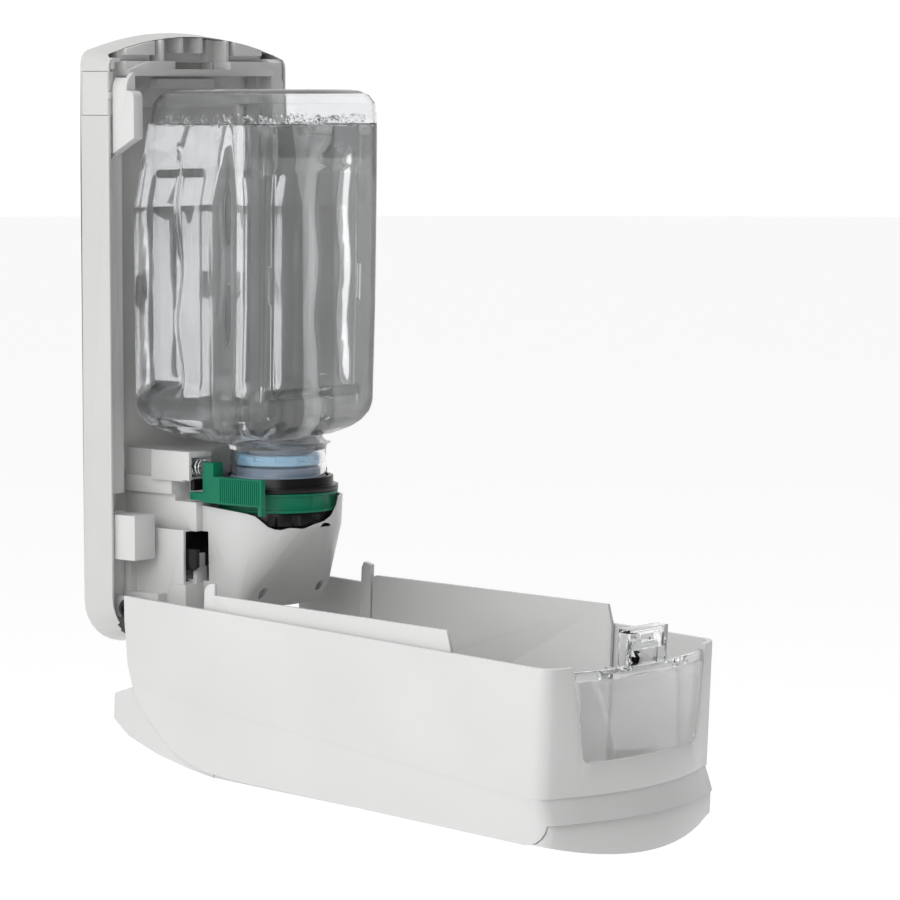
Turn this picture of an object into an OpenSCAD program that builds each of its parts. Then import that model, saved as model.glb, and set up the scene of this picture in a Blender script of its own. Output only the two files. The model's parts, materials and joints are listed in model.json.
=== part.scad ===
// Wall-mounted foam soap dispenser, opened for a refill. Millimetres.
// A wall plate carries a chassis, a pump housing and a nozzle shroud. A deep front
// cover with a push bar hangs on a bottom hinge, and a clear refill stands in a
// locking collar. +X is right for a person facing it, -Y is away from the wall,
// +Z is up. The origin is the centre of the four wall-screw holes, on the back face.

/* [Wall plate] */
// Height of the wall plate
plate_h = 298.6; // [294:0.2:302]
// Width of the wall plate at its widest
plate_w = 131.2; // [130:0.2:132]
// Depth of the wall plate's side band
plate_depth = 18; // [17:0.5:18]
// Thickness of moulded plastic walls
wall_t = 2.4; // [2:0.1:2.6]
// Height of the screw pattern's centre above the plate's bottom edge
origin_z = 175; // [170:1:180]
// Screw spacing across
screw_dx = 48; // [44:1:60]
// Screw spacing up and down
screw_dz = 110; // [100:1:116]
// Radius of the wall-screw holes
screw_r = 2.75; // [2:0.05:3.2]

/* [Cover] */
// Angle that the cover stands open from its closed place
open_angle = 92.85; // [60:0.05:95]
// Distance of the hinge axis from the wall
hinge_y = 25.4; // [25.2:0.1:25.6]
// Height of the hinge axis above the plate's bottom edge
hinge_z = 20.2; // [20:0.1:20.4]
// Outer width of the cover
cover_w = 130; // [129.6:0.1:130.4]
// Length of the cover along its middle, from hinge end to top end
cover_len = 273; // [270:0.5:274]
// Drop of the arched top end from its middle to its corners
end_bulge = 14; // [10:0.5:15]
// Depth of the cover's side walls
side_depth = 80.5; // [80:0.1:81]
// Extra depth of the crowned front at its middle
crown = 7.5; // [6:0.1:8]

/* [Pump and refill] */
// Distance of the collar's axis from the wall
axis_y = 68.7; // [68:0.1:69]
// Outer radius of the lock ring
ring_r = 29.2; // [29:0.1:29.6]
// Width of the refill bottle at its shoulder
bottle_w = 103; // [98:0.5:103]
// Height of the bottle's top above the plate's bottom edge
bottle_top = 271; // [266:0.5:272]
// Height that the liquid reaches
liquid_z = 254.5; // [200:0.5:256]

/* [Hidden] */
$fn = 64;

white = [0.86, 0.86, 0.85];
warm = [0.80, 0.80, 0.78];
green = [0.0, 0.45, 0.32];
black = [0.05, 0.05, 0.05];
steel = [0.62, 0.62, 0.64];
clear = [0.85, 0.88, 0.9, 0.35];

// wall plate
plate_mid = plate_h / 2;
draft_scale_x = 0.99;
draft_scale_z = 0.982;
foot_x = 35;
foot_z = 23;
corner_r = 7;
corner_z = plate_h - 15.4;
arch_drop = 8.4;
arch_half = 58.3;
side_bow = 1;
floor_t = 2.6;
cavity_inset = 2;

// cover, in its own closed frame: s runs up from the hinge end, t runs out from the rim
rim_y = 18.5;
cover_s0 = 21;
cover_half = cover_w / 2;
cover_corner_r = 9;
seam_t = 70.4;
ridge_t = 59;
ridge_in = 3;
panel_gap = 0.3;
bar_top_s = 59;
bar_half = 62;
bar_pivot_s = 54;
bar_pivot_t = 68;
pin_r = 2;
running = 0.06;
window_top_half = 50;
window_low_half = 43.5;
window_t = 44;
lens_top_t = 7;
liner_s0 = 45.3;
liner_half = 61.8;

// collar and pump
ring_z = 67.4;
ring_h = 9.2;
ring_bore = 27.4;
collar_r = 27;
nozzle_z = 52;
housing_half = 37.5;
guide_y = 37.2;

// ---------- shared shapes ----------

module placed() translate([0, 0, -origin_z]) children();

// a cover part drawn closed, turned open about the hinge axis
module opened() {
    placed() translate([0, -hinge_y, hinge_z]) rotate([open_angle, 0, 0])
        translate([0, hinge_y - rim_y, cover_s0 - hinge_z]) children();
}

// an (x, z) drawing pushed out from the wall between two distances
module slab(y0, y1) translate([0, -y0, 0]) rotate([90, 0, 0]) linear_extrude(y1 - y0) children();

// a (z, y-out) drawing pushed sideways between two x places
module side_slab(x0, x1) rotate([180, -90, 0]) translate([0, 0, x0]) linear_extrude(x1 - x0) children();

module both_sides() {
    children();
    mirror([1, 0, 0]) children();
}

module block(x0, x1, y0, y1, z0, z1) translate([x0, -y1, z0]) cube([x1 - x0, y1 - y0, z1 - z0]);

// upright cylinder on the collar's axis
module post(r, z0, z1) translate([0, -axis_y, z0]) cylinder(r = r, h = z1 - z0);

module ring(r_out, r_in, z0, z1) difference() {
    post(r_out, z0, z1);
    post(r_in, z0 - 1, z1 + 1);
}

// cylinder along X
module axle(r, x0, x1, y, z) translate([x0, -y, z]) rotate([0, 90, 0]) cylinder(r = r, h = x1 - x0);

// cylinder along Y, from y0 out to y1
module bore_y(r, x, z, y0, y1) translate([x, -y0, z]) rotate([90, 0, 0]) cylinder(r = r, h = y1 - y0);

function arc(cx, cy, rx, ry, a0, a1, n) =
    [for (i = [0:n]) let (a = a0 + (a1 - a0) * i / n) [cx + rx * cos(a), cy + ry * sin(a)]];

function mirrored(right) =
    concat(right, [for (i = [len(right) - 2:-1:0]) [-right[i][0], right[i][1]]]);

function plate_half(z) = plate_w / 2 - side_bow * pow((z - plate_mid) / plate_mid, 2);

function plate_arch(x) = plate_h - arch_drop * pow(x / arch_half, 2);

// outline of the wall plate, in x and z, moved in by inset
function plate_outline(inset) = mirrored(concat(
    arc(foot_x, foot_z, plate_half(foot_z) - foot_x - inset, foot_z - inset, -90, 0, 8),
    [for (i = [1:4]) let (z = foot_z + (corner_z - foot_z) * i / 5) [plate_half(z) - inset, z]],
    arc(plate_half(corner_z) - corner_r, corner_z, corner_r - inset, corner_r - inset, 0, 70, 5),
    [for (i = [1:6]) let (x = (arch_half - inset) * (1 - i / 6)) [x, plate_arch(x) - inset]]));

// outline of the cover seen from the front, in x and s, with its top end moved by shift
function cover_plan(inset, shift) = let (
    half = cover_half - inset,
    end = cover_len + shift - inset,
    knee = half - cover_corner_r,
    knee_s = end - end_bulge * pow(knee / cover_half, 2))
    mirrored(concat([[half, -20]],
        arc(knee, knee_s - cover_corner_r, cover_corner_r, cover_corner_r, 0, 62, 5),
        [for (i = [0:6]) let (x = (knee - 1) * (1 - i / 6))
            [x, end - end_bulge * pow(x / cover_half, 2)]]));

// side view of the cover's walls, in s and t, grown by g along the front edge
function cover_side(g) = concat([[0, 0], [0.8, 12.4], [3.7 - g, 32.9 + g / 2], [7.2 - g, 43 + g / 2]],
    [[11 - g, 50 + g / 2], [17.4 - g / 2, 56.9 + g], [25, 63.6 + g], [34, 70.3 + g], [43.4, 74.8 + g]],
    [[53.5, 77.6 + g], [72.4, 79 + g], [250 + g, side_depth + g]],
    arc(250 + g, seam_t + g, 10.6, side_depth - seam_t, 90, 0, 5),
    [[cover_len + 20, seam_t + g], [cover_len + 20, 0]]);

// ---------- wall plate and chassis ----------

module plate_body() hull() {
    slab(0, 0.1) polygon(plate_outline(0));
    translate([0, 0, plate_mid]) slab(plate_depth - 0.1, plate_depth)
        scale([draft_scale_x, draft_scale_z]) translate([0, -plate_mid]) polygon(plate_outline(0));
}

module button_window(gap) block(-70, -60.4 + gap, 1.1 - gap, 17.6 + gap, 258.6 - gap, 279.4 + gap);

module back_plate() color(warm) placed() difference() {
    plate_body();
    slab(floor_t, 30) polygon(plate_outline(cavity_inset));
    for (x = [-1, 1], z = [-1, 1])
        bore_y(screw_r, x * screw_dx / 2, origin_z + z * screw_dz / 2, -1, 10);
    button_window(0.25);
    // notch for the button's thumb tab
    block(-64.6, -59, 16.6, 19, 265.9, 270.1);
}

// side view of the guide ear: wide below, stepped back above, in z and y
ear_side = concat([[236, 11], [247.8, 32.5]], arc(266.8, 29, 3.5, 3.5, 90, 10, 4),
    [[270.3, 27.8]], arc(282.5, 24, 3.5, 3.5, 90, 0, 4), [[286, 11]]);

module ear() mirror([1, 0, 0]) difference() {
    side_slab(55.9, 62.2) polygon(ear_side);
    side_slab(51, 60) offset(delta = -2.1) polygon(ear_side);
    block(58.2, 63, 8, 18.6, 230, 280.6);
}

// low guide on the side without the button
right_guide = concat([[243.2, 8], [247, 15.6]], arc(252, 14.4, 4, 4.6, 180, 90, 3),
    arc(281, 14, 5, 5, 90, 0, 5), [[286, 8]]);

module chassis() color(white) placed() difference() {
    union() {
        both_sides() {
            block(49, 58.2, floor_t, 12, 14.5, 284);
            // hinge lugs low on the plate
            block(51, 56.4, floor_t, hinge_y, hinge_z - 5, hinge_z + 5);
            axle(5, 51, 56.4, hinge_y, hinge_z);
        }
        intersection() {
            union() {
                block(-58.2, -52.2, floor_t, 12, 236, 286);
                ear();
                side_slab(52.2, 61.4) polygon(right_guide);
                // shelf between the guides, its middle a thinner ledge
                block(-52.3, 52.3, 16.2, 20.7, 277.4, 280.6);
                both_sides() block(20, 52.3, floor_t, 20.7, 277.4, 284.5);
            }
            // inside the plate's wall, and inside the closed cover further out
            union() {
                slab(0, 18) polygon(plate_outline(cavity_inset + 0.4));
                translate([0, 0, cover_s0]) slab(17.9, 60) polygon(cover_plan(wall_t + 0.5, -2));
            }
        }
        // head block under the plate's arch, stepped at the front
        intersection() {
            slab(floor_t, 15.5) polygon(plate_outline(cavity_inset + 0.3));
            union() {
                both_sides() {
                    block(29, 49, floor_t, 15.5, 287.5, 300);
                    block(29, 52, floor_t, 12, 284, 300);
                    block(17, 29.2, floor_t, 7, 284, 300);
                    // ribs beside and above the latch pocket
                    block(22.4, 24.4, 6.9, 15.5, 284, 300);
                    block(6, 8, 4.1, 13, 288.6, 300);
                }
                block(-20, 20, floor_t, 4.2, 284, 300);
            }
        }
        // stop block below the shelf
        block(-21, 21, floor_t, 9, 271.5, 276);
        block(-52, 52, floor_t, 5, 262, 278);
    }
    both_sides() {
        axle(pin_r, 50, 57, hinge_y, hinge_z);
        // notch in the rail above the housing's lug
        block(48, 60, 6, 13, 66.2, 75);
    }
}

// keeper frame in the pocket that the cover's hook drops into
module latch_insert() color(warm) placed() difference() {
    block(-19.8, 19.8, floor_t, 9.6, 279.2, 283.9);
    block(-18.2, 18.2, 1, 12, 280.8, 290);
    block(-24, -17, 8, 12, 284, 300);
}

module release_button() color(warm) placed() {
    difference() {
        intersection() {
            plate_body();
            button_window(0);
        }
        // relief so that the pressed button clears the plate's floor
        block(-62.5, -60, 0, 3, 250, 290);
    }
    // thumb tab at mid height, reaching over the front edge
    block(-64.2, -61.5, 17, 18.1, 266.4, 269.6);
}

module button_spring() color(steel) placed() difference() {
    axle(2.6, -60.3, -58.3, 9, 269);
    axle(2, -61, -58, 9, 269);
}

// ---------- pump housing and collar ----------

// room for the carriage, its arm and its wings over their whole travel
module carriage_space() {
    block(-41.9, 41.9, 32.8, 46.5, 34, 57.5);
    block(-35.2, 35.2, 32.8, 46.5, 50, 66);
    block(-16, 16, 40, 70, 44, 66);
}

module pump_housing() color(white) placed() difference() {
    union() {
        difference() {
            block(-housing_half, housing_half, floor_t, 49, 57.5, 96);
            block(-housing_half + wall_t, housing_half - wall_t, 6, 32, 55, 93);
            block(-30, 30, 30, 46.6, 55, 66);
        }
        difference() {
            union() {
                block(-43.6, 43.6, 14, 46, 15, 58.3);
                block(-37, 37, floor_t, 16, 15, 58.3);
            }
            block(-41.2, 41.2, 16.4, 43.6, 17.4, 66);
        }
        both_sides() {
            // step on the side walls and foot below the window
            block(36, 40, floor_t, 44, 75, 83);
            block(29, 45.6, 38, 49.1, 15, 32);
            block(29.5, 37.4, 42.2, 48.6, 30, 40);
            block(30.5, 34.5, 42.2, 48.2, 39, 46.5);
            // outboard lugs
            block(47.4, 61.7, 12.1, 30.8, 44, 65.6);
            block(36, 48.8, floor_t, 15, 15, 58.3);
            block(42, 50, 12.1, 35, 19, 27);
        }
        // barrel of the lock spring
        block(-42.5, -31, 24, 49, 82, 96.4);
    }
    // the lock ring's swing and the refill's way in
    post(33, 66, 110);
    post(30.4, 40, 80);
    block(-43, -27, 35, 60, 71.6, 81.5);
    block(-43, -19.5, 44.8, 60, 71.6, 82.6);
    bore_y(5, -36, 88.6, 29, 52);
    block(-40.5, -25.5, 46.4, 60, 80, 93.4);
    carriage_space();
    // window past the carriage at each front corner
    both_sides() difference() {
        block(24, 41.9, 40, 50, 33, 57.5);
        block(29.5, 37.4, 42.2, 48.6, 30, 40);
        block(30.5, 34.5, 42.2, 48.2, 39, 46.5);
    }
    both_sides() {
        for (z = [22, 90]) bore_y(1.6, 24, z, -1, 8);
        bore_y(3.6, 24, 22, 6, 17);
    }
}

// screws that hold the housing to the plate's floor
module housing_screws() color(steel) placed() both_sides() for (z = [22, 90]) {
    bore_y(1.5, 24, z, floor_t + 0.1, 6.1);
    difference() {
        bore_y(3, 24, z, 6.05, 8);
        bore_y(1.1, 24, z, 7, 9);
    }
}

// one slice of the shroud: left and right half widths, corner radius, place of the front
module shroud_slice(wl, wr, r, y_front, z) translate([0, 0, z]) linear_extrude(0.5) {
    for (x = [r - wl, wr - r]) translate([x, -(y_front - r)]) circle(r = r, $fn = 48);
    translate([-wl, -(y_front - r)]) square([wl + wr, y_front - r - 44.2]);
}

module shroud_form(inset, z_low, z_high) hull() {
    shroud_slice(33.4 - inset, 31.6 - inset, 31 - inset, 99.9 - inset, z_high);
    shroud_slice(33.4 - inset, 31.2 - inset, 29.6 - inset, 98.6 - inset, 60);
    shroud_slice(33 - inset, 32 - inset, 6.5 - inset, 77 - inset, 29);
    shroud_slice(32 - inset, 31 - inset, 6.5 - inset, 71.5 - inset, z_low);
}

// the rim dips on the side where the thumb reaches the lock ring
rim_turn = -42;
rim_dip = [[-46, 90], [-46, 70.4], [-37, 69.8], [-29, 68.9], [-22.5, 68.1], [-18.5, 67.5],
           [-14.6, 66.4], [-11.5, 63.9], [-8.5, 61.3], [-5.4, 60.1], [-2.4, 59.7], [2, 60.6],
           [5.2, 60.4], [8.5, 59.9], [11, 60.6], [14, 61.7], [19.8, 63], [23.5, 65.2],
           [26.7, 70.2], [29, 80]];

module nozzle_shroud() color(white) placed() difference() {
    shroud_form(0, 19.5, 73.5);
    shroud_form(2.1, 18.9, 74.2);
    post(30.1, 60, 90);
    translate([0, -axis_y, 0]) rotate([0, 0, rim_turn]) slab(2, 45) polygon(rim_dip);
    // drain holes
    both_sides() bore_y(2.7, 21, 28, 60, 110);
    // open rear: cheeks reach the housing only above the window
    block(-40, 40, 30, 49.2, 10, 80);
    block(-40, 40, 40, 53, 33.2, 57.4);
    block(-44, -26, 45, 76, 71, 90);
    both_sides() block(30, 42, 47, 53, 34, 57.4);
}

module collar_cup() color(black) placed() difference() {
    union() {
        ring(27.6, 25.4, 61, 67);
        ring(24.6, 22.6, 55.6, 62);
        ring(26, 22.6, 60.9, 63);
        // feet that rest against the housing
        intersection() {
            post(30.2, 61, 66);
            both_sides() block(17, 23, 44, 52, 61, 66);
        }
    }
    post(22.6, 40, 62);
    post(25.4, 63, 80);
    for (a = [0:24:336]) translate([0, -axis_y, 60]) rotate([0, 0, a]) translate([30, 0, 0])
        cylinder(r = 3.4, h = 5.6);
    block(-16, 16, 35, 60, 44, 66.2);
}

guard_sector = [[0, 0], [40, -12], [40, 30], [16, 40]];

module neck_collar() color(black) placed() {
    ring(collar_r, 24.8, 67.05, 78);
    ring(29.4, 24.8, 76.95, 79.4);
    ring(collar_r, 24.8, 79.3, 83.7);
    // raised guard on the side away from the thumb pad
    intersection() {
        ring(28.4, 25.4, 79, 86);
        translate([0, -axis_y, 78]) linear_extrude(10) polygon(guard_sector);
    }
    // foot that reaches back to the housing and along its front
    block(-37, -21, 44.9, 47.2, 77.2, 82.4);
    intersection() {
        block(-36, -19.6, 44.9, 60, 77.2, 82.4);
        ring(32, 26, 70, 90);
    }
}

// sector in front of the collar where the lock ring is thicker
boss_sector = [[0, 0], [-10, -40], [1, -40]];

module lock_ring() color(green) placed() {
    difference() {
        union() {
            // band between a lower and an upper lip
            post(ring_r - 0.8, ring_z, ring_z + ring_h);
            post(ring_r, ring_z, ring_z + 1.4);
            post(ring_r, ring_z + ring_h - 1.1, ring_z + ring_h);
            intersection() {
                post(ring_r - 0.1, ring_z, ring_z + ring_h);
                translate([0, -axis_y, ring_z]) linear_extrude(ring_h) polygon(boss_sector);
            }
            // arm that carries the thumb pad, and the pad's end leg
            block(-36.4, -22, 62, 84, ring_z + 4, ring_z + ring_h);
            block(-38.4, -35.6, 89.6, 92, ring_z + 0.2, ring_z + 6);
            // tail that runs back beside the housing
            block(-38.4, -34.5, 45.6, 56, ring_z + 5.6, ring_z + ring_h);
            block(-36, -24, 50, 60, ring_z + 5.6, ring_z + ring_h);
        }
        post(ring_bore, 60, 90);
    }
    // ribbed thumb pad and the post that the spring pushes on
    block(-38.4, -35.6, 54, 92, 72, 85);
    for (i = [0:19]) block(-38.9, -38.2, 65 + i * 1.3, 65.7 + i * 1.3, 72.8, 84.2);
    block(-38.4, -31.5, 54, 61, 72, 91.5);
}

module lock_spring() color(steel) placed() difference() {
    bore_y(4.2, -36, 88.6, 29.4, 53.6);
    bore_y(3.4, -36, 88.6, 28, 55);
}

module guide_posts() color(warm) placed() both_sides() {
    translate([31, -guide_y, 33.05]) cylinder(r = 2.2, h = 32);
    translate([31, -guide_y, 33.05]) cylinder(r = 4.2, h = 2);
}

module return_springs() color(steel) placed() both_sides() difference() {
    translate([31, -guide_y, 57.5]) cylinder(r = 3.4, h = 8.4);
    translate([31, -guide_y, 50]) cylinder(r = 2.7, h = 20);
}

// sliding yoke that lifts the pump nozzle
module carriage() color(black) placed() difference() {
    union() {
        block(-41, 41, 33.6, 41, 38.8, 49.2);
        block(-34.6, 34.6, 33.6, 41, 49, 57.4);
        block(-14, 14, 40, 60, 49.2, 51.7);
        post(12.5, 49.2, 51.7);
        // wings with sloping front faces for the push fins
        both_sides() side_slab(38.4, 41)
            polygon([[38.8, 40], [38.8, 50], [40.4, 52], [49.2, 52], [49.2, 40]]);
    }
    post(7.4, 40, 60);
    both_sides() translate([31, -guide_y, 30]) cylinder(r = 2.6, h = 30);
    // clearance behind the shroud's cheeks
    both_sides() block(24, 38.3, 41, 50, 30, 60);
}

// ---------- hinge ----------

module hinge_pins() color(steel) placed() both_sides() axle(pin_r, 50.6, 61.4, hinge_y, hinge_z);

module hinge_bushes() color(black) placed() both_sides() difference() {
    axle(4.8, 56.5, 62.3, hinge_y, hinge_z);
    axle(pin_r, 56, 60, hinge_y, hinge_z);
    axle(3.2, 59.4, 63, hinge_y, hinge_z);
}

// ---------- front cover ----------

module cover_form(inset) {
    slab(-1, ridge_t) polygon(cover_plan(inset, -2));
    hull() {
        slab(ridge_t - 0.1, ridge_t) polygon(cover_plan(inset, -ridge_in));
        slab(seam_t - 4, seam_t - 3) polygon(cover_plan(inset, 0));
        slab(seam_t, 90) polygon(cover_plan(inset, 1.9));
    }
}

// the window's notch in the top end wall, narrower towards the front
module window_notch(gap) {
    r = 4;
    low = window_low_half + gap - r;
    hull() {
        block(-window_top_half - gap, window_top_half + gap, -2, 2, 200, 290);
        both_sides() translate([low, r - window_t - gap, 200]) cylinder(r = r, h = 90, $fn = 32);
    }
}

module cover_shell() color(white) opened() difference() {
    union() {
        difference() {
            intersection() {
                cover_form(0);
                side_slab(-70, 70) polygon(cover_side(0));
                block(-70, 70, 0, 90, -10, 290);
            }
            translate([0, 5, 0]) cover_form(wall_t);
            slab(-1, 95) polygon(cover_plan(wall_t, -2));
            window_notch(0.3);
            block(-62.3, 62.3, seam_t, 95, -30, 290);
        }
        // bosses for the hinge pins and the push bar's pins
        both_sides() {
            difference() {
                axle(3.1, 59.6, 64.4, hinge_y - rim_y, hinge_z - cover_s0);
                block(60.3, 66, 0, 20, -20, 0.2);
            }
            axle(4.4, 62.2, 64.4, bar_pivot_t, bar_pivot_s);
        }
    }
    both_sides() {
        axle(pin_r + running, 59, 64, hinge_y - rim_y, hinge_z - cover_s0);
        axle(pin_r, 59, 64.3, bar_pivot_t, bar_pivot_s);
    }
}

// U-shaped inner tray whose lips stand above the rim, in s and t
lip_rear = [[198, -9.4], [201, 0], [201, 77.4], [62, 77.4], [62, 44]];
left_lip = concat([[49.4, 44], [49.4, -7.4]], arc(54.4, -7.4, 5, 5, 180, 270, 5),
    [[55.8, -12.4], [56, -7]], lip_rear);
right_lip = concat([[52, 44], [52, -4], [54, -5]], lip_rear);
end_rib = [[liner_s0, 40], [liner_s0, -8], [46.6, -11], [51, -10], [52.2, 40]];

module cover_liner() color(white) opened() {
    mirror([1, 0, 0]) side_slab(59.9, liner_half) polygon(left_lip);
    side_slab(59.9, liner_half) polygon(right_lip);
    side_slab(58.8, liner_half) polygon(end_rib);
    // crowned floor behind the front panel
    difference() {
        intersection() {
            crown_form(wall_t + 0.3);
            block(-60, 60, 70, 90, 64, 201);
        }
        crown_form(wall_t + 1.8);
    }
}

module crown_form(r_less) {
    sag_r = (pow(bar_half, 2) + pow(crown, 2)) / (2 * crown);
    translate([0, sag_r - side_depth - crown, 0]) cylinder(r = sag_r - r_less, h = 300, $fn = 180);
}

module front_panel() color(white) opened() difference() {
    intersection() {
        crown_form(0);
        union() {
            difference() {
                block(-62.2, 62.2, 74, 90, bar_top_s + 1, 250);
                crown_form(wall_t);
            }
            difference() {
                slab(seam_t + panel_gap, 90) polygon(cover_plan(0.4, 1.5));
                intersection() {
                    crown_form(wall_t);
                    slab(0, 100) polygon(cover_plan(wall_t + 0.4, 1.5));
                }
                block(-70, 70, 0, 100, -30, 240);
            }
        }
    }
    both_sides() side_slab(62.2, 70) polygon(cover_side(panel_gap));
}

module window_lens() color(clear) opened() intersection() {
    difference() {
        slab(lens_top_t, window_t) polygon(cover_plan(0.2, -2));
        slab(-1, window_t + 1) polygon(cover_plan(2.4, -2));
    }
    window_notch(-0.1);
}

// clear carrier across the top of the window, with the hook at its middle
module latch_hook() color(clear) opened() difference() {
    union() {
        intersection() {
            difference() {
                slab(2.6, lens_top_t - 0.2) polygon(cover_plan(1.6, -2));
                slab(-1, 20) polygon(cover_plan(3.6, -2));
            }
            window_notch(-0.4);
        }
        // shelf behind the window that ties the carrier to the hook
        block(-30, 30, 4.6, 6.6, 260, 267.6);
        both_sides() {
            block(12.8, 14.6, -12, 6.6, 260.2, 266.4);
            block(22, 23.8, 2.6, 6.6, 259.6, 266.4);
        }
        block(-14.6, 14.6, -13.8, -11.6, 260.2, 266.4);
        block(-14.6, 14.6, -12, -4, 264.6, 266.4);
        block(-11, 11, -8, 6, 262.2, 264);
    }
    block(-6, 6, -11, -7.4, 255, 270);
    both_sides() block(25, 29, 5.2, 8, 258, 264);
}

// ---------- push bar ----------

// one slice across the push bar at height s: t runs from t_in to the crowned front
module bar_slice(s, t_in, t_out, half, inset) slab_at(s) polygon(concat(
    [[-half, t_in]],
    [for (i = [-6:6]) let (x = half * i / 6) [x, t_out - inset + crown * (1 - pow(x / bar_half, 2))]],
    [[half, t_in]]));

module slab_at(s) translate([0, 0, s]) mirror([0, 1, 0]) linear_extrude(0.2) children();

bar_front = [[2.8, 68.5], [13.2, 72], [23.5, 75], [34.7, 77.2], [45.8, 79.1], [bar_top_s, 80.6]];

module push_bar() color(white) opened() difference() {
    union() {
        difference() {
            hull() {
                bar_slice(-8.1, 51.5, 59.5, bar_half - 1, 0);
                bar_slice(-6.9, 49, 61.5, bar_half, 0);
                bar_slice(-4.7, 48, 63.2, bar_half, 0);
                bar_slice(3.8, 44.8, 68.9, bar_half, 0);
                for (p = bar_front) bar_slice(p[0], 60, p[1], bar_half, 0);
            }
            hull() {
                bar_slice(-5.6, 30, 62, bar_half - wall_t, wall_t);
                for (p = bar_front) bar_slice(p[0], 30, p[1], bar_half - wall_t, wall_t);
                bar_slice(bar_top_s + 2, 30, 81, bar_half - wall_t, wall_t);
            }
        }
        both_sides() axle(4.6, 56.8, 60.2, bar_pivot_t, bar_pivot_s);
    }
    both_sides() axle(pin_r + running, 50, 66, bar_pivot_t, bar_pivot_s);
}

module bar_pivot_pins() color(steel) opened() both_sides()
    axle(pin_r, 49, 64.2, bar_pivot_t, bar_pivot_s);

module bar_springs() color(steel) opened() both_sides() difference() {
    axle(3.6, 50, 56, bar_pivot_t, bar_pivot_s);
    axle(2.6, 49, 57, bar_pivot_t, bar_pivot_s);
}

// twin fins that lift the carriage's wings when the bar is pressed, in s and t
fin_side = [[16.6, 31.7], [14, 31.7], [9, 37], [3, 42.5], [-3.5, 49], [-4.9, 62], [30, 72],
    [30, 66], [22, 50]];

module push_fins() color(black) opened() both_sides() intersection() {
    side_slab(38.6, 41) polygon(fin_side);
    hull() {
        bar_slice(-5, 20, 62, 50, wall_t + 0.1);
        for (p = bar_front) bar_slice(p[0], 20, p[1], 50, wall_t + 0.1);
    }
}

// ---------- refill ----------

// outline of the bottle at one height: square shoulders at the rear, crowned front
module bottle_slice(half, rear, front, r, z) translate([0, 0, z]) linear_extrude(0.4) {
    for (x = [-1, 1]) {
        translate([x * (half - 4), -(rear + 4)]) circle(r = 4, $fn = 24);
        translate([x * (half - r), -(front - 3 - r)]) circle(r = r, $fn = 24);
        translate([x * half / 3, -(front - 4)]) circle(r = 4, $fn = 16);
    }
}

module bottle_form(inset) {
    half = bottle_w / 2 - inset;
    hull() {
        bottle_slice(half - 8, 37 + inset, 88 - inset, 8, bottle_top - inset - 0.4);
        bottle_slice(half - 2, 31 + inset, 95 - inset, 8, bottle_top - 3 - inset);
        bottle_slice(half, 28.4 + inset, 97.4 - inset, 7, bottle_top - 10);
        bottle_slice(half, 16.6 + inset, 97 - inset, 7, 215);
        bottle_slice(half - 0.7, 16.2 + inset, 95 - inset, 7, 118);
        bottle_slice(half - 4, 20 + inset, 92 - inset, 8, 109);
        bottle_slice(half - 13, 30 + inset, 86 - inset, 12, 103 + inset);
    }
    translate([0, -axis_y, 84]) cylinder(r = 23.6 - inset, h = 24);
}

module bottle() color(clear) placed() difference() {
    bottle_form(0);
    bottle_form(1.1);
    post(20.6, 80, 100);
}

module liquid() color([0.9, 0.93, 0.95, 0.3]) placed() intersection() {
    bottle_form(1.5);
    block(-70, 70, 0, 120, 99.4, liquid_z);
}

module pump_closure() color([0.55, 0.62, 0.7]) placed() difference() {
    union() {
        post(23.4, 79, 83.9);
        post(20.2, 83.8, 95.6);
    }
    post(14.2, 84, 100);
    post(11, 70, 90);
}

module pump_body() color([0.85, 0.87, 0.88]) placed() difference() {
    union() {
        post(10.6, 66.2, 84.2);
        post(13.8, 84.1, 99);
        post(18, 76.2, 78.9);
    }
    post(7, 60, 90);
}

module pump_spring() color(steel) placed() ring(6, 5.2, 78.2, 89.6);

module pump_nozzle() color([0.85, 0.87, 0.88]) placed() difference() {
    union() {
        post(6.6, nozzle_z - 4, 78);
        post(10, nozzle_z + 0.1, nozzle_z + 2.4);
    }
    post(4.4, nozzle_z - 5, 79);
}

back_plate();
chassis();
latch_insert();
pump_housing();
housing_screws();
nozzle_shroud();
collar_cup();
neck_collar();
lock_spring();
guide_posts();
return_springs();
hinge_pins();
hinge_bushes();
release_button();
button_spring();
cover_shell();
cover_liner();
front_panel();
window_lens();
latch_hook();
bar_pivot_pins();
bar_springs();
push_bar();
push_fins();
lock_ring();
carriage();
bottle();
liquid();
pump_closure();
pump_body();
pump_spring();
pump_nozzle();
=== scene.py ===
"""Looks of a wall-mounted foam soap dispenser that stands open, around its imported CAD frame.

Everything is in metres, in the row frame: +X right, -Y away from the wall, +Z up.
"""
import json
import math
import random

import bmesh
import bpy
from mathutils import Matrix, Vector


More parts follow.
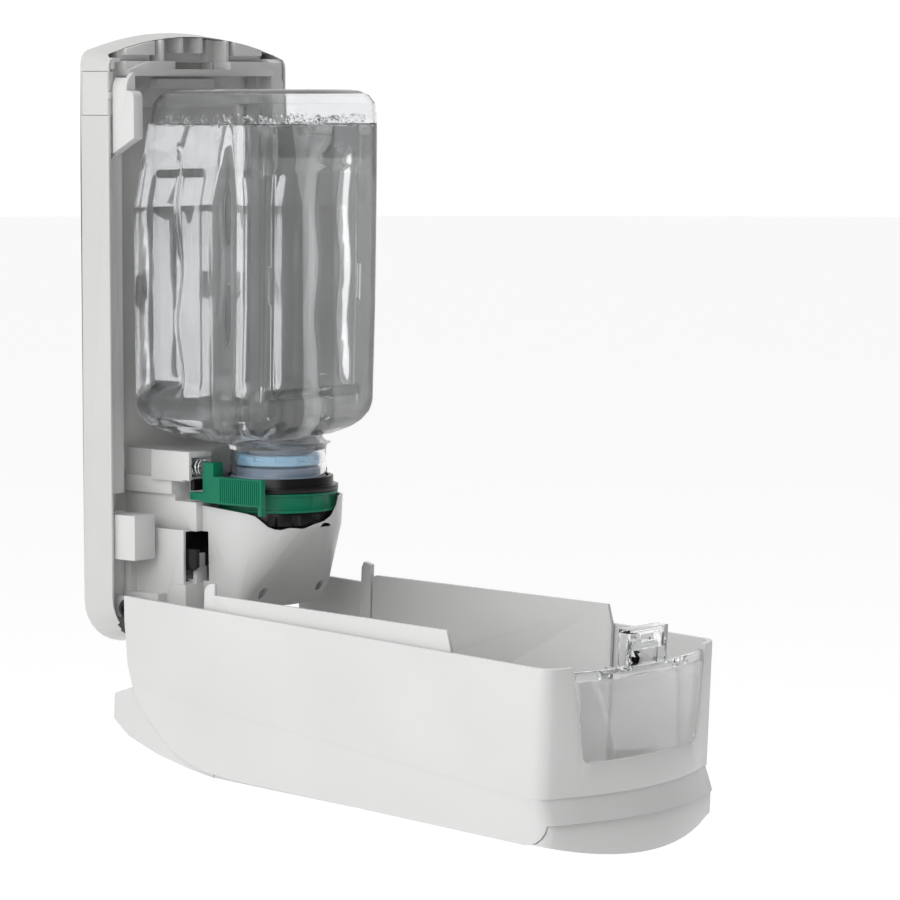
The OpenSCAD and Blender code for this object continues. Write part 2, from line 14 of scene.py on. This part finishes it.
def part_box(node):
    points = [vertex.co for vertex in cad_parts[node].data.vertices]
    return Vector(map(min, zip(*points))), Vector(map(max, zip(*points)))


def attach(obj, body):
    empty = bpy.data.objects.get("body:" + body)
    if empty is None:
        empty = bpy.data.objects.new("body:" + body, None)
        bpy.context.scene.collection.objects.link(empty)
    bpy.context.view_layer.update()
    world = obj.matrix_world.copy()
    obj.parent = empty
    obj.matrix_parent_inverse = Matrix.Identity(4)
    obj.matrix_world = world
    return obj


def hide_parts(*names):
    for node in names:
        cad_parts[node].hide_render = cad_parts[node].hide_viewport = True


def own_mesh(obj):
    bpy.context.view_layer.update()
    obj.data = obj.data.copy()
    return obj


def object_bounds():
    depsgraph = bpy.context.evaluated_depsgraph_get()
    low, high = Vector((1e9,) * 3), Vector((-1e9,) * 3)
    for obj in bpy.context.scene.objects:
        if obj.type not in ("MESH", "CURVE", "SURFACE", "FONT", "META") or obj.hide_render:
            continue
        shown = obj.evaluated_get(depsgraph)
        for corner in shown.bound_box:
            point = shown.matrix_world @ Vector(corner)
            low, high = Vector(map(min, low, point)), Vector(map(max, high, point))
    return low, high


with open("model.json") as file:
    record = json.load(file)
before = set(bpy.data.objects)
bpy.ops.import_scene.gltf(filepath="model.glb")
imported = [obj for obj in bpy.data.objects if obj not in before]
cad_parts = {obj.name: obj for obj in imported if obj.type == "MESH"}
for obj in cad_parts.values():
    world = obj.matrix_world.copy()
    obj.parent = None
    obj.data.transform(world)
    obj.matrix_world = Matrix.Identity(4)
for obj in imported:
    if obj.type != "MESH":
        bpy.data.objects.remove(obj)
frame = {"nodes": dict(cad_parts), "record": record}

NODES = frame["nodes"]
BODY_OF = {node: body for body, members in frame["record"]["behaviour"]["bodies"].items()
           for node in members}
SLOT_OF = {part["node"]: part["material_slot"] for part in frame["record"]["subparts"]}
MM = 0.001
PLATE_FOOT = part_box("back_plate")[0].z
cad_low, cad_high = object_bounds()

CAMERA_PLACE = (-1.4694, -1.3673, 0.09675)
CAMERA_TURN_DEG = (84.864, 0.0, -50.984)
CAMERA_LENS_MM = 161.3
CAMERA_SENSOR_MM = 36.0
FLOOR_DROP = 0.16
FLOOR_RADIUS = 14.0
FLOOR_WHITE = 0.985
FLOOR_GLOW = 0.14
# the way the studio sky is brightest, and its least and greatest strength
SKY_BRIGHT_SIDE = (0.0, 0.84, 0.54)
SKY_LOW = 0.08
SKY_HIGH = 1.02
# (name, place, target, size of its side, watts)
LIGHTS = [
    ("key", (-1.6, -0.15, 0.75), (0, -0.1, -0.1), 1.0, 4.6),
    ("fill", (-0.52, -0.31, 0.12), (0, -0.04, -0.1), 0.35, 1.1),
    ("top", (0.1, -0.1, 1.5), (0, -0.12, -0.1), 1.2, 3.0)]

# edges between these angles are rounded off
SHARP_LOW_DEG = 42
SHARP_HIGH_DEG = 150
# width of each moulding's rounded edges, in mm
EDGE_WIDTHS = {
    "back_plate": 0.7, "chassis": 0.9, "latch_insert": 0.3, "pump_housing": 1.5,
    "nozzle_shroud": 0.45, "collar_cup": 0.3, "neck_collar": 0.35, "release_button": 0.4,
    "cover_shell": 0.6, "cover_liner": 0.6, "front_panel": 0.6, "latch_hook": 0.35,
    "push_bar": 0.6, "push_fins": 0.4, "lock_ring": 0.4, "carriage": 0.4, "pump_body": 0.4,
    "pump_nozzle": 0.4, "guide_posts": 0.3, "housing_screws": 0.2, "hinge_pins": 0.3,
    "hinge_bushes": 0.3, "bar_pivot_pins": 0.3}


# ---------- camera, floor and lights ----------

def aim(piece, place, target):
    """Put piece at place, with its -Z axis towards target."""
    piece.location = place
    piece.rotation_euler = (Vector(target) - Vector(place)).to_track_quat("-Z", "Y").to_euler()


def add_camera():
    data = bpy.data.cameras.new("camera")
    data.lens = CAMERA_LENS_MM
    data.sensor_width = CAMERA_SENSOR_MM
    data.clip_end = 40.0
    camera = bpy.data.objects.new("camera", data)
    camera.location = CAMERA_PLACE
    camera.rotation_euler = [math.radians(turn) for turn in CAMERA_TURN_DEG]
    bpy.context.scene.collection.objects.link(camera)
    bpy.context.scene.camera = camera


def add_light(name, place, target, size, watts):
    """A square soft light that the camera doesn't see."""
    data = bpy.data.lights.new(name, "AREA")
    data.shape = "SQUARE"
    data.size = size
    data.energy = watts
    light = bpy.data.objects.new(name, data)
    light.visible_camera = False
    aim(light, place, target)
    bpy.context.scene.collection.objects.link(light)


def add_floor():
    bm = bmesh.new()
    bmesh.ops.create_circle(bm, cap_ends=True, radius=FLOOR_RADIUS, segments=96)
    mesh = bpy.data.meshes.new("floor")
    bm.to_mesh(mesh)
    bm.free()
    floor = bpy.data.objects.new("floor", mesh)
    floor.location.z = cad_low.z - FLOOR_DROP
    bpy.context.scene.collection.objects.link(floor)
    material, _, shader = new_material("floor")
    shader.inputs["Base Color"].default_value = (FLOOR_WHITE, FLOOR_WHITE, FLOOR_WHITE, 1.0)
    shader.inputs["Roughness"].default_value = 0.9
    shader.inputs["Emission Color"].default_value = (1.0, 1.0, 1.0, 1.0)
    shader.inputs["Emission Strength"].default_value = FLOOR_GLOW
    shader.inputs["Specular IOR Level"].default_value = 0.0
    mesh.materials.append(material)


def add_studio_sky():
    """A white studio, brightest behind and above the object and dim in front of it."""
    world = bpy.data.worlds.new("studio")
    world.use_nodes = True
    tree = world.node_tree
    place = tree.nodes.new("ShaderNodeTexCoord")
    towards = tree.nodes.new("ShaderNodeVectorMath")
    towards.operation = "DOT_PRODUCT"
    towards.inputs[1].default_value = SKY_BRIGHT_SIDE
    tree.links.new(place.outputs["Generated"], towards.inputs[0])
    strength = spread(tree, towards.outputs["Value"], SKY_LOW, SKY_HIGH, -0.42, 0.32)
    sky = tree.nodes["Background"]
    sky.inputs["Color"].default_value = (1.0, 1.0, 1.0, 1.0)
    tree.links.new(strength, sky.inputs["Strength"])
    bpy.context.scene.world = world


# ---------- materials ----------

def new_material(name):
    material = bpy.data.materials.new(name)
    material.use_nodes = True
    tree = material.node_tree
    return material, tree, tree.nodes["Principled BSDF"]


def noise(tree, scale, detail, stretch=(1.0, 1.0, 1.0)):
    """A noise texture in the object's own metres; returns its Fac socket."""
    place = tree.nodes.new("ShaderNodeTexCoord")
    mapping = tree.nodes.new("ShaderNodeMapping")
    mapping.inputs["Scale"].default_value = stretch
    texture = tree.nodes.new("ShaderNodeTexNoise")
    texture.inputs["Scale"].default_value = scale
    texture.inputs["Detail"].default_value = detail
    tree.links.new(place.outputs["Object"], mapping.inputs["Vector"])
    tree.links.new(mapping.outputs["Vector"], texture.inputs["Vector"])
    return texture.outputs["Fac"]


def spread(tree, socket, low, high, start=0.3, stop=0.7):
    """Map a value between start and stop to low..high."""
    node = tree.nodes.new("ShaderNodeMapRange")
    node.inputs["From Min"].default_value = start
    node.inputs["From Max"].default_value = stop
    node.inputs["To Min"].default_value = low
    node.inputs["To Max"].default_value = high
    tree.links.new(socket, node.inputs["Value"])
    return node.outputs["Result"]


def bump(tree, shader, socket, strength, distance):
    node = tree.nodes.new("ShaderNodeBump")
    node.inputs["Strength"].default_value = strength
    node.inputs["Distance"].default_value = distance
    tree.links.new(socket, node.inputs["Height"])
    tree.links.new(node.outputs["Normal"], shader.inputs["Normal"])


def moulded(name, colour, rough, grain=0.12, mottle=0.03, coat=0.0, specular=0.5):
    """Injection-moulded plastic: slow colour drift, a painted highlight on convex edges and painted
    shade in creases, and a fine mould grain.
    """
    material, tree, shader = new_material(name)
    drift = spread(tree, noise(tree, 14.0, 3.0), 1.0 - mottle, 1.0 + mottle)
    shape = tree.nodes.new("ShaderNodeNewGeometry")
    # painted light: the base colour is lighter on convex edges (painted highlight) and darker in creases
    # (painted shade)
    painted_edge_highlight_crease_shade = spread(tree, shape.outputs["Pointiness"], 0.965, 1.05, 0.44, 0.56)
    shade = tree.nodes.new("ShaderNodeMath")
    shade.operation = "MULTIPLY"
    tree.links.new(drift, shade.inputs[0])
    tree.links.new(painted_edge_highlight_crease_shade, shade.inputs[1])
    tint = tree.nodes.new("ShaderNodeVectorMath")
    tint.operation = "SCALE"
    tint.inputs[0].default_value = colour
    tree.links.new(shade.outputs[0], tint.inputs["Scale"])
    tree.links.new(tint.outputs["Vector"], shader.inputs["Base Color"])
    tree.links.new(spread(tree, noise(tree, 55.0, 4.0), rough - 0.05, rough + 0.06),
                   shader.inputs["Roughness"])
    shader.inputs["Specular IOR Level"].default_value = specular
    shader.inputs["Coat Weight"].default_value = coat
    shader.inputs["Coat Roughness"].default_value = 0.25
    bump(tree, shader, noise(tree, 2600.0, 2.0), grain, 0.00012)
    return material


def clear(name, tint, rough, ior, ripple, ripple_scale, stretch=(1.0, 1.0, 1.0), alpha=1.0):
    """Clear moulded or blown plastic, or a liquid, with slow flow ripples."""
    material, tree, shader = new_material(name)
    colour = tree.nodes.new("ShaderNodeVectorMath")
    colour.operation = "SCALE"
    colour.inputs[0].default_value = tint
    tree.links.new(spread(tree, noise(tree, 9.0, 2.0), 0.985, 1.0), colour.inputs["Scale"])
    tree.links.new(colour.outputs["Vector"], shader.inputs["Base Color"])
    shader.inputs["Roughness"].default_value = rough
    shader.inputs["IOR"].default_value = ior
    shader.inputs["Transmission Weight"].default_value = 1.0
    shader.inputs["Alpha"].default_value = alpha
    bump(tree, shader, noise(tree, ripple_scale, 2.0, stretch), ripple, 0.001)
    return material


def wire(name, colour, rough):
    """Drawn steel wire, with fine streaks."""
    material, tree, shader = new_material(name)
    shader.inputs["Base Color"].default_value = (*colour, 1.0)
    shader.inputs["Metallic"].default_value = 1.0
    tree.links.new(spread(tree, noise(tree, 900.0, 3.0, (1.0, 1.0, 0.2)), rough, rough + 0.18),
                   shader.inputs["Roughness"])
    bump(tree, shader, noise(tree, 1800.0, 2.0), 0.1, 0.00005)
    return material


MATERIALS = {
    "white_plastic": moulded("white_plastic", (0.560, 0.560, 0.555), 0.34, coat=0.15),
    "plate_plastic": moulded("plate_plastic", (0.520, 0.520, 0.508), 0.42, grain=0.2),
    "green_plastic": moulded("green_plastic", (0.000, 0.150, 0.078), 0.36, mottle=0.05,
                             specular=0.3),
    "black_plastic": moulded("black_plastic", (0.006, 0.006, 0.006), 0.3, mottle=0.1,
                             specular=0.3),
    "clear_plastic": clear("clear_plastic", (0.97, 0.98, 0.98), 0.04, 1.42, 0.12, 60.0),
    "window_plastic": clear("window_plastic", (0.97, 0.98, 0.98), 0.06, 1.42, 0.04, 60.0,
                            alpha=0.45),
    "bottle_plastic": clear("bottle_plastic", (0.98, 0.985, 0.99), 0.0, 1.36, 0.35, 32.0,
                            (1.0, 1.0, 0.35), alpha=0.97),
    "soap_liquid": clear("soap_liquid", (0.985, 0.99, 0.995), 0.0, 1.33, 0.05, 12.0, alpha=0.9),
    "spring_steel": wire("spring_steel", (0.66, 0.66, 0.68), 0.2),
    "closure_blue": moulded("closure_blue", (0.330, 0.410, 0.520), 0.4, grain=0.1),
    "pump_plastic": moulded("pump_plastic", (0.560, 0.650, 0.740), 0.3, grain=0.1),
    "band_blue": moulded("band_blue", (0.480, 0.760, 0.980), 0.3, grain=0.1),
}


# ---------- making pieces ----------

def add_piece(name, bm, body, slot, material=None, smooth_deg=38.0):
    """Turn a bmesh into a piece that rides on body, smooth but for its sharp edges."""
    bmesh.ops.recalc_face_normals(bm, faces=bm.faces)
    limit = math.radians(smooth_deg)
    for face in bm.faces:
        face.smooth = True
    for edge in bm.edges:
        edge.smooth = len(edge.link_faces) == 2 and edge.calc_face_angle(0.0) < limit
    mesh = bpy.data.meshes.new(name)
    bm.to_mesh(mesh)
    bm.free()
    mesh.materials.append(MATERIALS[material or slot])
    piece = bpy.data.objects.new(name, mesh)
    bpy.context.scene.collection.objects.link(piece)
    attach(piece, body)
    return piece


def cad_mesh(node):
    """A CAD node's mesh with its split corners joined and its flat faces whole."""
    bm = bmesh.new()
    bm.from_mesh(NODES[node].data)
    bmesh.ops.remove_doubles(bm, verts=bm.verts, dist=2e-6)
    bmesh.ops.dissolve_degenerate(bm, edges=bm.edges, dist=2e-6)
    bmesh.ops.dissolve_limit(bm, angle_limit=math.radians(0.8), verts=bm.verts, edges=bm.edges,
                             delimit={"NORMAL"})
    for layer in list(bm.loops.layers.float_vector):
        bm.loops.layers.float_vector.remove(layer)
    return bm


def rounded(node, width, segments=2, least_edge=1.2, material=None):
    """A copy of a CAD node with its long, sharp edges rounded off."""
    bm = cad_mesh(node)
    sharp = [edge for edge in bm.edges
             if len(edge.link_faces) == 2 and edge.calc_length() > least_edge * MM
             and math.radians(SHARP_LOW_DEG) < edge.calc_face_angle(0.0)
             < math.radians(SHARP_HIGH_DEG)
             and min(face.calc_area() for face in edge.link_faces) > (0.9 * MM) ** 2]
    bmesh.ops.bevel(bm, geom=sharp, offset=width * MM, offset_type="OFFSET", segments=segments,
                    profile=0.5, affect="EDGES", clamp_overlap=True, material=-1,
                    miter_outer="ARC")
    piece = add_piece(node + "_moulding", bm, BODY_OF[node], SLOT_OF[node], material)
    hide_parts(node)
    return piece


def tube(bm, points, radius, sides=8):
    """Sweep a round wire along points, with closed ends."""
    angles = [2 * math.pi * k / sides for k in range(sides)]
    section = [Vector((radius * math.cos(a), radius * math.sin(a), 0)) for a in angles]
    rings = []
    for i, point in enumerate(points):
        ahead = points[min(i + 1, len(points) - 1)] - points[max(i - 1, 0)]
        turn = ahead.to_track_quat("Z", "Y")
        rings.append([bm.verts.new(point + turn @ corner) for corner in section])
    for low, high in zip(rings, rings[1:]):
        for k in range(sides):
            bm.faces.new((low[k], low[(k + 1) % sides], high[(k + 1) % sides], high[k]))
    bm.faces.new(rings[0][::-1])
    bm.faces.new(rings[-1])


def coil(bm, low, high, axis, turns, wire_r):
    """A compression spring that fills the box low..high along axis, with ground end turns."""
    along = Vector([1.0 if i == axis else 0.0 for i in range(3)])
    side = Vector([0.0, 0.0, 1.0]) if axis != 2 else Vector([1.0, 0.0, 0.0])
    other = along.cross(side)
    centre = (low + high) / 2
    half = (high[axis] - low[axis]) / 2 - wire_r
    coil_r = min(high[i] - low[i] for i in range(3) if i != axis) / 2 - wire_r
    steps = 20
    pitch = (2 * half - 4 * wire_r) / turns
    points = []
    for i in range(int((turns + 2) * steps) + 1):
        turn = i / steps
        rise = 2 * wire_r * min(turn, 1) + pitch * min(max(turn - 1, 0), turns)
        rise += 2 * wire_r * max(turn - 1 - turns, 0)
        angle = 2 * math.pi * turn
        points.append(centre + along * (rise - half)
                      + coil_r * (side * math.cos(angle) + other * math.sin(angle)))
    tube(bm, points, wire_r)


def side_box(node, sign):
    """The box of the solid of a paired node that stands on one side of x = 0."""
    own = [v.co for v in NODES[node].data.vertices if v.co.x * sign > 0]
    return (Vector([min(v[i] for v in own) for i in range(3)]),
            Vector([max(v[i] for v in own) for i in range(3)]))


def spring(node, axis, turns, wire_r, paired=False, joint=None):
    """Wound wire in place of a CAD sleeve, or a pair. With a joint, the piece gets a mesh of its own."""
    boxes = [side_box(node, -1), side_box(node, 1)] if paired else [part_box(node)]
    bm = bmesh.new()
    for low, high in boxes:
        coil(bm, low, high, axis, turns, wire_r)
    piece = add_piece(node + "_coil", bm, BODY_OF[node], SLOT_OF[node])
    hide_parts(node)
    if joint:
        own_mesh(piece)


def ring_profile(bm, centre, profile, sides=96):
    """Turn a closed (radius, z) profile about an upright axis."""
    rings = []
    for k in range(sides):
        angle = 2 * math.pi * k / sides
        across, along = math.cos(angle), math.sin(angle)
        rings.append([bm.verts.new((centre.x + r * across, centre.y + r * along, z))
                      for r, z in profile])
    count = len(profile)
    for k in range(sides):
        near, far = rings[k], rings[(k + 1) % sides]
        for i in range(count):
            j = (i + 1) % count
            bm.faces.new((near[i], far[i], far[j], near[j]))


# ---------- refill ----------

def plate_z(millimetres):
    """Height in metres of a level that is given in mm above the plate's foot."""
    return PLATE_FOOT + millimetres * MM


BOTTLE_LOW, BOTTLE_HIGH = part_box("bottle")
LIQUID_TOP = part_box("liquid")[1].z
NECK = (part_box("pump_closure")[0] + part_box("pump_closure")[1]) / 2
BOTTLE_HALF = BOTTLE_HIGH.x
BOTTLE_FRONT = -BOTTLE_LOW.y
BOTTLE_REAR = -BOTTLE_HIGH.y
# (height above the plate's foot, inset of the sides, rear and front, corner radius), in mm
BOTTLE_LEVELS = [
    (100.4, 22.0, 24.0, 19.5, 20), (103, 13.5, 14.4, 12.2, 16), (106, 7.8, 8.4, 8.2, 12),
    (109, 4.2, 4.2, 5.6, 11), (113, 1.7, 1.4, 3.6, 10), (118, 0.8, 0.3, 2.6, 9),
    (166, 0.4, 0.3, 1.2, 9), (215, 0.1, 0.5, 0.5, 9), (240, 0.1, 6.6, 0.2, 9),
    (258, 0.1, 11.6, 0.1, 9), (264, 0.7, 13.2, 0.6, 9), (268, 2.4, 15.4, 2.6, 10),
    (270.2, 5.2, 18.4, 5.6, 11), (270.95, 9.4, 22.4, 10.0, 12)]
BODY_FOOT = BOTTLE_LEVELS[0][0]
BODY_TOP = BOTTLE_LEVELS[-1][0]
# the levels between which the body's walls are tall and nearly straight
WALL_FOOT = 118
WALL_TOP = 258
BOTTLE_WALL = 1.0
# (height, radius) of the neck's rings, outside, inside and of the liquid in it, in mm
NECK_OUTSIDE = [(84.3, 23.2), (84.9, 23.6), (88, 23.55), (92, 23.5), (96, 23.5), (98.6, 24.0),
                (99.8, 26.0)]
NECK_INSIDE = [(84.3, 22.0), (88, 21.9), (92, 21.9), (97, 22.0), (99.8, 23.2)]
NECK_LIQUID = [(96.2, 21.2), (97, 22.2), (99.8, 23.6)]
FRONT_CROWN = 3.4
GRIP_DEPTH = 4.2
LABEL_DEPTH = 1.6
FACET_DEPTH = 0.9
BACK_DEPTH = 2.0
BUBBLES = 420
RING_POINTS = 176


def rounded_outline(half, rear, front, radius, crown):
    """Corners joined by straight runs and a crowned front, as RING_POINTS even steps."""
    right = []
    for step in range(9):
        angle = math.radians(-90 + 90 * step / 8)
        right.append((half - radius + radius * math.cos(angle),
                      rear + radius + radius * math.sin(angle)))
    side_front = front - crown
    for step in range(9):
        angle = math.radians(90 * step / 8)
        right.append((half - radius + radius * math.cos(angle),
                      side_front - radius + radius * math.sin(angle)))
    for step in range(1, 9):
        x = (half - radius) * (1 - step / 8)
        right.append((x, side_front + crown * (1 - (x / (half - radius)) ** 2)))
    outline = [(0.0, rear)] + right + [(-x, y) for x, y in reversed(right[:-1])]
    outline.append(outline[0])
    lengths = [0.0]
    for a, b in zip(outline, outline[1:]):
        lengths.append(lengths[-1] + math.dist(a, b))
    points = []
    segment = 0
    for k in range(RING_POINTS):
        target = lengths[-1] * k / RING_POINTS
        while lengths[segment + 1] < target:
            segment += 1
        share = (target - lengths[segment]) / max(lengths[segment + 1] - lengths[segment], 1e-9)
        a, b = outline[segment], outline[segment + 1]
        points.append((a[0] + (b[0] - a[0]) * share, a[1] + (b[1] - a[1]) * share))
    return points


def smooth_step(value, start, stop):
    share = min(max((value - start) / (stop - start), 0.0), 1.0)
    return share * share * (3 - 2 * share)


def window(value, low, high, blend):
    """1 between low and high, falling to 0 over blend on each side."""
    return smooth_step(value, low - blend, low) * (1 - smooth_step(value, high, high + blend))


def pressed_in(x, y, z):
    """How far, in mm, the bottle's wall is pushed in at a point (all in mm, y from the wall)."""
    wave = 1.6 * math.sin((z - 120) * 2 * math.pi / 52)
    grip = window(y, 27 + wave, 47 + wave, 5.5) * window(z, 132, 234, 12) * window(abs(x), 40, 60, 3)
    label = window(x, -33, 33, 2.2) * window(z, 126, 232, 2.6) * window(y, 88, 110, 1.0)
    facet = window(abs(x), 33, 37, 2.5) * window(z, 120, 250, 8) * window(y, 86, 110, 2.0)
    back = window(x, -26, 26, 6) * window(z, 128, 226, 8) * window(y, 10, 30, 2.0)
    return GRIP_DEPTH * grip + LABEL_DEPTH * label + FACET_DEPTH * facet + BACK_DEPTH * back


def bottle_ring(level, inset):
    """One ring of the bottle at a height in mm, pulled in by inset mm."""
    pairs = list(zip(BOTTLE_LEVELS, BOTTLE_LEVELS[1:]))
    a, b = next((pair for pair in pairs if pair[1][0] >= level), pairs[-1])
    share = (level - a[0]) / (b[0] - a[0])
    side, rear, front, radius = (a[i] + (b[i] - a[i]) * share for i in range(1, 5))
    outline = rounded_outline(BOTTLE_HALF / MM - side - inset, BOTTLE_REAR / MM + rear + inset,
                              BOTTLE_FRONT / MM - front - inset, radius, FRONT_CROWN)
    ring = []
    for k, (x, y) in enumerate(outline):
        before, after = outline[k - 1], outline[(k + 1) % RING_POINTS]
        along = Vector((after[0] - before[0], after[1] - before[1])).normalized()
        push = pressed_in(x, y, level)
        ring.append((x - along.y * push, y + along.x * push))
    return ring


def loft(bm, levels, inset, neck_levels=()):
    """Rings from the lowest level up; the neck's round rings come first."""
    rings = []
    for level, radius in neck_levels:
        ring = []
        for k in range(RING_POINTS):
            angle = 2 * math.pi * k / RING_POINTS
            ring.append((radius * math.sin(angle), -NECK.y / MM - radius * math.cos(angle)))
        rings.append((level, ring))
    rings += [(level, bottle_ring(level, inset)) for level in levels]
    placed = [[bm.verts.new((x * MM, -y * MM, plate_z(level))) for x, y in ring]
              for level, ring in rings]
    for low, high in zip(placed, placed[1:]):
        for k in range(RING_POINTS):
            j = (k + 1) % RING_POINTS
            bm.faces.new((low[k], low[j], high[j], high[k]))
    return placed


def cap(bm, ring, rise):
    """Close a ring with a low dome of smaller rings."""
    centre = sum((v.co for v in ring), Vector()) / len(ring)
    shares = [0.8, 0.55, 0.25]
    last = ring
    for i, share in enumerate(shares):
        lift = Vector((0, 0, rise * (i + 1) / len(shares)))
        inner = [bm.verts.new(centre + (v.co - centre) * share + lift) for v in ring]
        for k in range(len(ring)):
            j = (k + 1) % len(ring)
            bm.faces.new((last[k], last[j], inner[j], inner[k]))
        last = inner
    tip = bm.verts.new(centre + Vector((0, 0, rise)))
    for k in range(len(last)):
        bm.faces.new((last[k], last[(k + 1) % len(last)], tip))


def level_steps(start, stop, count):
    return [start + (stop - start) * i / count for i in range(count + 1)]


def body_levels(low, high):
    """The heights of the rings: every listed level, and even steps along the tall walls."""
    heights = {row[0] for row in BOTTLE_LEVELS}
    heights.update(level_steps(BODY_FOOT, WALL_FOOT, 12))
    heights.update(level_steps(WALL_FOOT, WALL_TOP, 70))
    heights.update(level_steps(WALL_TOP, BOTTLE_LEVELS[-2][0], 10))
    return sorted(h for h in heights if low - 1e-6 <= h <= high + 1e-6)


def make_bottle():
    bm = bmesh.new()
    outer = loft(bm, body_levels(BODY_FOOT, BODY_TOP), 0.0, NECK_OUTSIDE)
    cap(bm, outer[-1], 0.1 * MM)
    inner = loft(bm, body_levels(BODY_FOOT + 1.1, BODY_TOP - 1.05), BOTTLE_WALL, NECK_INSIDE)
    cap(bm, inner[-1], 0.0)
    for k in range(RING_POINTS):
        j = (k + 1) % RING_POINTS
        bm.faces.new((outer[0][j], outer[0][k], inner[0][k], inner[0][j]))
    piece = add_piece("bottle_blown", bm, "refill", "bottle_plastic", smooth_deg=60.0)
    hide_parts("bottle")


def make_liquid():
    top = (LIQUID_TOP - PLATE_FOOT) / MM
    bm = bmesh.new()
    levels = body_levels(BODY_FOOT + 1.1, top - 0.8) + [top - 0.5, top]
    # its side runs inside the bottle's wall, so that no film of air shows between them
    rings = loft(bm, levels, 0.55 * BOTTLE_WALL, NECK_LIQUID)
    # the surface creeps a little up the wall
    edge = rings[-1]
    centre = sum((v.co for v in edge), Vector()) / len(edge)
    last = edge
    for share, drop in ((0.975, 0.6), (0.94, 1.0), (0.5, 1.1)):
        sunk = Vector((0, 0, drop * MM))
        inner = [bm.verts.new(centre + (v.co - centre) * share - sunk) for v in edge]
        for k in range(RING_POINTS):
            j = (k + 1) % RING_POINTS
            bm.faces.new((last[k], last[j], inner[j], inner[k]))
        last = inner
    bm.faces.new(last)
    bm.faces.new(rings[0][::-1])
    piece = add_piece("soap_fill", bm, "refill", "soap_liquid", smooth_deg=60.0)
    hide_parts("liquid")


def make_foam():
    """Bubbles that cling round the liquid's edge."""
    random.seed(11)
    top = (LIQUID_TOP - PLATE_FOOT) / MM
    outline = bottle_ring(top, 2.2)
    bm = bmesh.new()
    for _ in range(BUBBLES):
        k = random.randrange(RING_POINTS)
        x, y = outline[k]
        pull = random.random() ** 2 * 0.3
        x *= 1 - pull
        y += (-NECK.y / MM - y) * pull
        radius = 0.3 + 0.8 * random.random() ** 2
        z = top - 1.0 + random.random() ** 1.6 * 5.0
        bmesh.ops.create_icosphere(bm, subdivisions=2, radius=radius * MM,
                                   matrix=Matrix.Translation((x * MM, -y * MM, plate_z(z))))
    add_piece("foam_bubbles", bm, "refill", "bottle_plastic", smooth_deg=80.0)


def neck_profile(points):
    """A closed (radius, height) profile in mm, as metres for ring_profile."""
    return [(radius * MM, plate_z(height)) for radius, height in points]


def ribs_round_neck(bm, count, radius, height, size):
    """Small blocks of a size in mm, evenly round the neck's axis."""
    centre = Matrix.Translation((NECK.x, NECK.y, plate_z(height)))
    block = Matrix.Translation((radius * MM, 0, 0)) @ Matrix.Diagonal([side * MM for side in size] + [1])
    for k in range(count):
        turn = Matrix.Rotation(2 * math.pi * k / count, 4, "Z")
        bmesh.ops.create_cube(bm, size=1.0, matrix=centre @ turn @ block)


def make_closure():
    low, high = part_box("pump_closure")
    skirt_r = (high.x - low.x) / 2 / MM
    bore_r = 11.2
    sleeve_r = 20.6
    sleeve_bore_r = 14.4
    bm = bmesh.new()
    ring_profile(bm, NECK, neck_profile([
        (bore_r, 79.1), (skirt_r - 0.6, 79.1), (skirt_r, 79.7), (skirt_r, 83.2), (skirt_r - 0.5, 84),
        (sleeve_r, 84.1), (sleeve_r, 87.6), (sleeve_r - 0.8, 88.1), (sleeve_bore_r, 88.1),
        (sleeve_bore_r, 84.6), (bore_r, 84.4)]))
    ribs_round_neck(bm, 60, skirt_r - 0.25, 81.5, (0.4, 0.8, 2.6))
    piece = add_piece("closure_cap", bm, "refill", "closure_blue")
    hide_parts("pump_closure")


def make_valve_band():
    """The light-blue band with notches, inside the neck."""
    bore_r = 16.6
    lip_r = 20.4
    band_r = 19.4
    bm = bmesh.new()
    ring_profile(bm, NECK, neck_profile([
        (bore_r, 89.2), (lip_r - 0.4, 89.2), (lip_r, 89.6), (lip_r, 91.4), (band_r, 91.7),
        (band_r, 93.7), (band_r - 0.5, 94.2), (bore_r, 94.2)]))
    ribs_round_neck(bm, 12, band_r + 0.2, 92.4, (1.6, 5.4, 2.6))
    add_piece("valve_band", bm, "refill", "pump_plastic", material="band_blue")


# ---------- everything in order ----------

add_camera()
add_floor()
add_studio_sky()
for light in LIGHTS:
    add_light(*light)
bpy.context.scene.view_settings.view_transform = "Standard"
bpy.context.scene.view_settings.look = "None"

for node, width in EDGE_WIDTHS.items():
    rounded(node, width)
rounded("window_lens", 0.5, material="window_plastic")

spring("lock_spring", 1, 9, 0.42 * MM, joint="lock_ring_turn")
spring("return_springs", 2, 4, 0.3 * MM, paired=True, joint="carriage_slide")
spring("pump_spring", 2, 5, 0.35 * MM, joint="nozzle_slide")
spring("button_spring", 0, 2, 0.15 * MM, joint="release_button_press")
spring("bar_springs", 0, 5, 0.45 * MM, paired=True)
make_bottle()
make_liquid()
make_foam()
make_closure()
make_valve_band()
